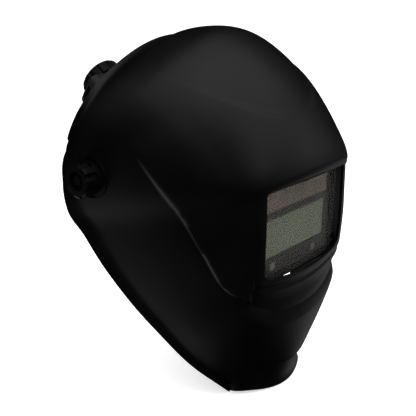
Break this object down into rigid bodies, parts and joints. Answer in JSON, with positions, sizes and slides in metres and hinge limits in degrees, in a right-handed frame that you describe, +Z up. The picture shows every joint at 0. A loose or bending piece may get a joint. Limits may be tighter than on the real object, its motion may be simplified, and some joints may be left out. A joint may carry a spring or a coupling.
{
  "type": "welding helmet",
  "caption": "Auto-darkening welding helmet: black moulded shell with a framed filter window, tilting on side knobs over a ratchet-adjusted headband.",
  "frame": {"origin": "middle of the axis the shell tilts about, between the two side knobs, which is where the head carries the helmet", "axes": "+X to the wearer's left along the tilt axis, -Y forward out of the window, +Z up with the shell upright"},
  "size_m": [0.2744, 0.2844, 0.3274],
  "materials": {
    "shell_plastic": "satin moulded",
    "clear_cover": "clear",
    "black_plastic": "satin",
    "screw_steel": "zinc plated",
    "grey_plastic": "satin",
    "case_plastic": "fine texture",
    "solar_glass": "glossy",
    "filter_tint": "reflective",
    "sensor_window": "glossy",
    "board": "lacquered",
    "cell_steel": "bright",
    "sweat_cloth": "terry cloth",
    "band_plastic": "satin",
    "knob_plastic": "fine texture",
    "washer_rubber": "matt"
  },
  "bodies": {
    "headgear": {"headband_front": "band_plastic", "sweatband": "sweat_cloth", "crown_strap_left": "band_plastic", "crown_strap_right": "band_plastic", "crown_pin": "band_plastic", "side_plate_left": "band_plastic", "side_plate_right": "band_plastic"},
    "carriages": {"pivot_slide_left": "black_plastic", "pivot_bolt_left": "black_plastic", "angle_stop_left": "black_plastic", "spacer_washer_left": "washer_rubber", "outer_washer_left": "washer_rubber", "pivot_slide_right": "black_plastic", "pivot_bolt_right": "black_plastic", "angle_stop_right": "black_plastic", "spacer_washer_right": "washer_rubber", "outer_washer_right": "washer_rubber"},
    "helmet_shell": {"shell": "shell_plastic", "front_cover_lens": "clear_cover", "filter_holder": "black_plastic", "holder_screws": "screw_steel", "filter_front_case": "case_plastic", "filter_rear_case": "case_plastic", "solar_cell": "solar_glass", "filter_glass": "filter_tint", "light_sensors": "sensor_window", "circuit_board": "board", "battery": "cell_steel", "inner_cover_lens": "clear_cover"},
    "knob_left": {"tension_knob_left": "knob_plastic"},
    "knob_right": {"tension_knob_right": "knob_plastic"},
    "latch_left": {"holder_latch_left": "grey_plastic"},
    "latch_right": {"holder_latch_right": "grey_plastic"},
    "shade_dial": {"shade_dial": "grey_plastic"},
    "sensitivity_dial": {"sensitivity_dial": "grey_plastic"},
    "delay_dial": {"delay_dial": "grey_plastic"},
    "test_button": {"test_button": "grey_plastic"},
    "battery_cap": {"battery_cap": "black_plastic"},
    "rear_cradle": {"rear_band": "band_plastic", "ratchet_housing": "band_plastic", "rear_pad": "sweat_cloth"},
    "ratchet_knob": {"ratchet_knob": "knob_plastic", "ratchet_pinion": "band_plastic"}
  },
  "joints": [
    {"name": "fore_aft_slide", "type": "slide", "parent": "headgear", "child": "carriages", "axis": [0, 0.8572, 0.515], "range_m": [-0.008, 0.008]},
    {"name": "shell_tilt", "type": "hinge", "parent": "carriages", "child": "helmet_shell", "pos_m": [0, 0, 0], "axis": [1, 0, 0], "range_deg": [-36, 30]},
    {"name": "tension_left", "type": "hinge", "parent": "carriages", "child": "knob_left", "pos_m": [0.13, 0, 0], "axis": [1, 0, 0], "range_deg": [0, 360]},
    {"name": "tension_right", "type": "hinge", "parent": "carriages", "child": "knob_right", "pos_m": [-0.13, 0, 0], "axis": [-1, 0, 0], "range_deg": [0, 360]},
    {"name": "latch_left_slide", "type": "slide", "parent": "helmet_shell", "child": "latch_left", "axis": [1, 0, 0], "range_m": [0, 0.005]},
    {"name": "latch_right_slide", "type": "slide", "parent": "helmet_shell", "child": "latch_right", "axis": [-1, 0, 0], "range_m": [0, 0.005]},
    {"name": "shade_turn", "type": "hinge", "parent": "helmet_shell", "child": "shade_dial", "pos_m": [-0.034, -0.1134, -0.0145], "axis": [0, 1, 0], "range_deg": [0, 270]},
    {"name": "sensitivity_turn", "type": "hinge", "parent": "helmet_shell", "child": "sensitivity_dial", "pos_m": [-0.011, -0.1134, -0.0145], "axis": [0, 1, 0], "range_deg": [0, 270]},
    {"name": "delay_turn", "type": "hinge", "parent": "helmet_shell", "child": "delay_dial", "pos_m": [0.008, -0.1134, -0.0145], "axis": [0, 1, 0], "range_deg": [0, 270]},
    {"name": "test_press", "type": "slide", "parent": "helmet_shell", "child": "test_button", "axis": [0, -1, 0], "range_m": [0, 0.0009], "stiffness_N_per_m": 800},
    {"name": "battery_cap_turn", "type": "hinge", "parent": "helmet_shell", "child": "battery_cap", "pos_m": [0.035, -0.1134, -0.0145], "axis": [0, 1, 0], "range_deg": [0, 60]},
    {"name": "ratchet_turn", "type": "hinge", "parent": "rear_cradle", "child": "ratchet_knob", "pos_m": [0, 0.11213, 0.04638], "axis": [0, 0.8572, 0.515], "range_deg": [-130, 160]},
    {"name": "cradle_slide", "type": "slide", "parent": "headgear", "child": "rear_cradle", "axis": [0, 0.8572, 0.515], "range_m": [-0.01222, 0.00993]}
  ],
  "couplings": [
    {"joint": "ratchet_turn", "follows": "cradle_slide", "rad_per_m": -228.57}
  ]
}
